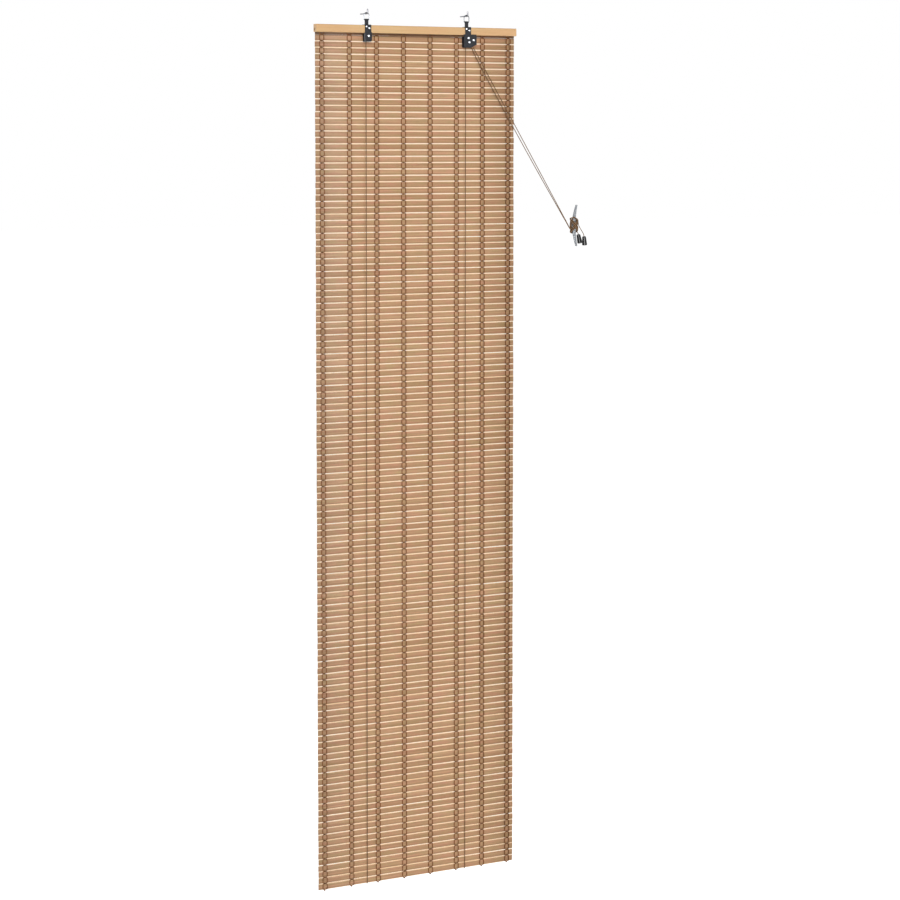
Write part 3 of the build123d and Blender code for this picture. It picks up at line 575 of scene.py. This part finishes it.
# Round turns on the cleat's neck, with angles in degrees
NECK_ANGLES = np.arange(227.5, 971.0, 22.5)
NECK_HALF = 0.009
NECK_REACH = 0.0154

# Figure-of-eight turns on the cleat; the hitch is the loop over the upper horn
TURN_STEP = np.pi / 8
TURN_START = 0.5 * np.pi
TURN_SWELL = 0.3
TURN_CHANGE = 8.2
TURN_SWING = 0.0055
FRONT_LIFT = 0.0007
REAR_FIRST = 0.0028
REAR_LIFT = 0.0008
REAR_LAST = 0.0072
HITCH_FROM = 7 * np.pi
HITCH_TO = 8 * np.pi
HITCH_SHRINK = 0.42
HITCH_BACK = 0.003
HITCH_SIDE = 0.005


def towards(start, end, length):
    """The point at a length from start on the way to end."""
    start, end = np.array(start), np.array(end)
    return tuple((start + (end - start) / np.linalg.norm(end - start) * length).tolist())


def lift_points(x, pulley_y, lock_y, cross, draw_end, sag):
    """A cord's route from the knot behind its hanger, round the mat and through the lock to the cleat."""
    top = (x, pulley_y, CROSS_Z)
    low_front = (x, CORD_FRONT_Y, CORD_LOW_Z)
    corner = (LOCK_X, lock_y, CAM_CORNER_Z)
    slack = [
        tuple((np.array(towards(corner, draw_end, run)) + amount * sag * DRAW_SIDE).tolist())
        for run, amount in DRAW_SLACK
    ]
    end = (LOCK_X, lock_y, CROSS_Z)
    across = []
    if cross:
        droop = [(side * CROSS_SAG_X, (pulley_y + lock_y) / 2, CROSS_SAG_Z) for side in (-1, 1)]
        across = [towards(top, end, NEAR), *droop, towards(end, top, NEAR)]
    return [
        (x, ANCHOR_Y, ANCHOR_Z), (x, CORD_BACK_Y, ANCHOR_Z), (x, CORD_BACK_Y, ANCHOR_Z - NEAR),
        (x, CORD_BACK_Y, CORD_LOW_Z + NEAR), (x, CORD_BACK_Y, CORD_LOW_Z), low_front,
        towards(low_front, top, NEAR), towards(top, low_front, NEAR), top, *across,
        end, corner, *slack, towards(draw_end, corner, NEAR), draw_end,
    ]


def round_turn(first, last, bow):
    """Two turns round the cleat's neck: X half cos a, Z reach sin a, and a depth that bows by cos^2 a.

    The depth goes from first to last, and the bow becomes half as large on the way.
    """
    angle = np.radians(NECK_ANGLES)
    bows = np.linspace(bow, bow / 2, len(angle))
    depth = np.linspace(first, last, len(angle)) + bows * np.cos(angle) ** 2
    points = np.stack([NECK_HALF * np.cos(angle), -depth, NECK_REACH * np.sin(angle)], axis=1)
    return [tuple(point) for point in (CLEAT + points).tolist()]


def cleat_turns(half, reach, depth, last):
    """Figure-of-eight turns: X -half g sin 2t, Z -reach (g + 1) / 2 sin t + swing, up to t = last.

    The size g and the swing differ from turn to turn. The turns cross the cleat's front at whole half-turns
    and pass behind its horns between, but the last upper loop lies over the horn's front.
    """
    t = np.arange(TURN_START, last + 0.01, TURN_STEP)
    over = (1 + np.cos(2 * t)) / 2
    hitch = np.where((t > HITCH_FROM) & (t < HITCH_TO), np.sin(t) ** 2, 0)
    over = np.where(hitch > 0, 1, over * over * (3 - 2 * over))
    swell = TURN_SWELL * np.sin(TURN_CHANGE * np.floor(t / np.pi) + 1) * np.sin(t) ** 2
    grow = 1 + swell - HITCH_SHRINK * hitch
    swing = TURN_SWING * np.sin(TURN_CHANGE * np.round(t / np.pi)) * over
    front = depth + FRONT_LIFT * (t - np.pi) / np.pi - HITCH_BACK * hitch
    behind = np.clip(REAR_FIRST + REAR_LIFT * (t - np.pi / 2) / np.pi, 0, REAR_LAST)
    points = np.stack(
        [
            -half * grow * np.sin(2 * t) - HITCH_SIDE * hitch,
            -(behind + (front - behind) * over),
            -reach * (grow + 1) / 2 * np.sin(t) + swing,
        ],
        axis=1,
    )
    return [tuple(point) for point in (CLEAT + points).tolist()]


def make_cord(name, route, solids):
    """A cord as one smooth spline along its route, with its anchor knot and the knot inside its weight."""
    curve = bpy.data.curves.new(name, "CURVE")
    curve.dimensions = "3D"
    spline = curve.splines.new("NURBS")
    spline.points.add(len(route) - 1)
    spline.points.foreach_set("co", np.c_[np.array(route), np.ones(len(route))].ravel())
    spline.order_u = 3
    spline.use_endpoint_u = True
    spline.resolution_u = 8
    curve.bevel_depth = CORD_DIAMETER / 2
    curve.bevel_resolution = 4
    curve.use_fill_caps = True
    curve.materials.append(cord)
    piece = bpy.data.objects.new(name, curve)
    bpy.context.collection.objects.link(piece)
    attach(piece, "blind")
    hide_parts(*solids)
    knots = []
    for end, size in ((route[0], ANCHOR_KNOT), (route[-1], WEIGHT_KNOT)):
        grid = ball_grid([end], size, *KNOT_GRID, KNOT_RIPPLE)
        knot_name = f"{name}_knot_{len(knots) + 1}"
        knots.append(make_piece(knot_name, grid, tube_faces(1, *KNOT_GRID), cord, "cord"))


FRONT_DRAW_END = (0.4768, -0.0162, -0.5515)
REAR_DRAW_END = (0.4775, -0.0134, -0.5515)
left_route = [
    *lift_points(LEFT_LIFT_X, LEFT_PULLEY_Y, FRONT_GROOVE_Y, True, FRONT_DRAW_END, 0.0),
    *round_turn(0.0074, 0.0064, 0.0076),
    *cleat_turns(0.0096, 0.0184, 0.0164, 8.5 * np.pi),
    (0.4975, -0.0100, -0.5585), (0.5012, -0.0152, -0.5598),
    (0.5025, -0.0165, -0.5655), (0.5046, -0.0165, -0.5749),
]
right_route = [
    *lift_points(RIGHT_LIFT_X, REAR_GROOVE_Y, REAR_GROOVE_Y, False, REAR_DRAW_END, REAR_SAG),
    *round_turn(0.0058, 0.0032, 0.0058),
    *cleat_turns(0.0108, 0.0194, 0.0176, 7.75 * np.pi),
    (0.5040, -0.0140, -0.5415), (0.5172, -0.0140, -0.5595), (0.5215, -0.0140, -0.5658),
    (0.5228, -0.0140, -0.5713), (0.5236, -0.0140, -0.5806),
]
left_solids = ["left_lift_cord", "left_draw_cord", "cord_tail_1", "cleat_turns"]
right_solids = ["right_lift_cord", "right_draw_cord", "cord_tail_2"]
make_cord("left_cord", left_route, left_solids)
make_cord("right_cord", right_route, right_solids)


# Floor, light and camera

def seen_directly(tree):
    """One for rays of the eye, of a reflection and through glass, and nothing for the light's other rays."""
    path = tree.nodes.new("ShaderNodeLightPath").outputs
    seen = reckon(tree, "ADD", path["Is Camera Ray"], path["Is Glossy Ray"])
    return span(tree, reckon(tree, "ADD", seen, path["Is Transmission Ray"]), 0.0, 1.0)


FLOOR_HALF = 60.0
FLOOR_BELOW_MAT = 0.3
FLOOR_GLOW = 0.62


def make_floor():
    """A pale floor below the blind, lifted to white for the eye and in reflections alone."""
    material, tree, shader, where = new_material("Pale floor")
    used = place(tree, surface_group, {"Vector": where, "Cloud": 2.0, "Speck": 60.0})
    pale = blend(tree, used.outputs["Clouds"], (0.97, 0.97, 0.97, 1), (1, 1, 1, 1))
    tree.links.new(pale, shader.inputs["Base Color"])
    shader.inputs["Roughness"].default_value = 0.9
    shader.inputs["Specular IOR Level"].default_value = 0.0
    shader.inputs["Emission Color"].default_value = (1, 1, 1, 1)
    glow = span(tree, seen_directly(tree), 0.0, 1.0, 0.0, FLOOR_GLOW)
    tree.links.new(glow, shader.inputs["Emission Strength"])
    height = MAT_BOTTOM - FLOOR_BELOW_MAT
    signs = ((-1, -1), (1, -1), (1, 1), (-1, 1))
    corners = [(across * FLOOR_HALF, deep * FLOOR_HALF, height) for across, deep in signs]
    mesh = bpy.data.meshes.new("floor")
    mesh.from_pydata(corners, [], [(0, 1, 2, 3)])
    mesh.materials.append(material)
    floor = bpy.data.objects.new("floor", mesh)
    bpy.context.collection.objects.link(floor)


def make_world(level):
    """A white surround to the eye and in reflections, and an even ambient light of the given level."""
    world = bpy.data.worlds.new("Studio")
    bpy.context.scene.world = world
    world.use_nodes = True
    tree = world.node_tree
    strength = span(tree, seen_directly(tree), 0.0, 1.0, level, 1.0)
    tree.links.new(strength, tree.nodes["Background"].inputs["Strength"])
    tree.nodes["Background"].inputs["Color"].default_value = (1, 1, 1, 1)


def make_lamp(name, place, aim, size, power, gloss_only=False):
    """A soft square lamp at a place, turned to an aim; one for gloss only lights no matt surface."""
    lamp = bpy.data.lights.new(name, "AREA")
    lamp.size = size
    lamp.energy = power
    holder = bpy.data.objects.new(name, lamp)
    bpy.context.collection.objects.link(holder)
    turn = np.array(aim) - np.array(place)
    flat = math.hypot(turn[0], turn[1])
    holder.location = place
    holder.visible_diffuse = not gloss_only
    holder.rotation_euler = (math.atan2(flat, -turn[2]), 0, math.atan2(-turn[0], turn[1]))


AMBIENT = 0.43
MIDDLE = (0.0, 0.0, -1.1)
make_floor()
make_world(AMBIENT)
make_lamp("key", (-2.4, -5.0, 2.2), MIDDLE, 2.5, 158.0)
make_lamp("fill", (3.2, -3.4, -1.2), MIDDLE, 3.0, 46.0)
make_lamp("rear", (-1.5, 4.0, 1.5), MIDDLE, 3.0, 70.0)
make_lamp("glint", (-3.2, -5.6, 0.2), (0.4, 0.0, -0.5), 3.6, 900.0, gloss_only=True)

# The camera looks from the left and a little downwards, as the photograph does; angles are in degrees
CAMERA_PLACE = (-4.0106, -6.4308, -0.3167)
CAMERA_YAW = 32.643
CAMERA_PITCH = 5.306
FOCAL_PIXELS = 2950.0
IMAGE_PIXELS = 900
CAMERA_SHIFT = -0.04
lens = bpy.data.cameras.new("camera")
lens.sensor_width = 36.0
lens.lens = lens.sensor_width * FOCAL_PIXELS / IMAGE_PIXELS
lens.shift_y = CAMERA_SHIFT
camera = bpy.data.objects.new("camera", lens)
bpy.context.collection.objects.link(camera)
camera.location = CAMERA_PLACE
camera.rotation_euler = (math.radians(90 - CAMERA_PITCH), 0, math.radians(-CAMERA_YAW))
bpy.context.scene.camera = camera
bpy.context.scene.view_settings.view_transform = "Standard"
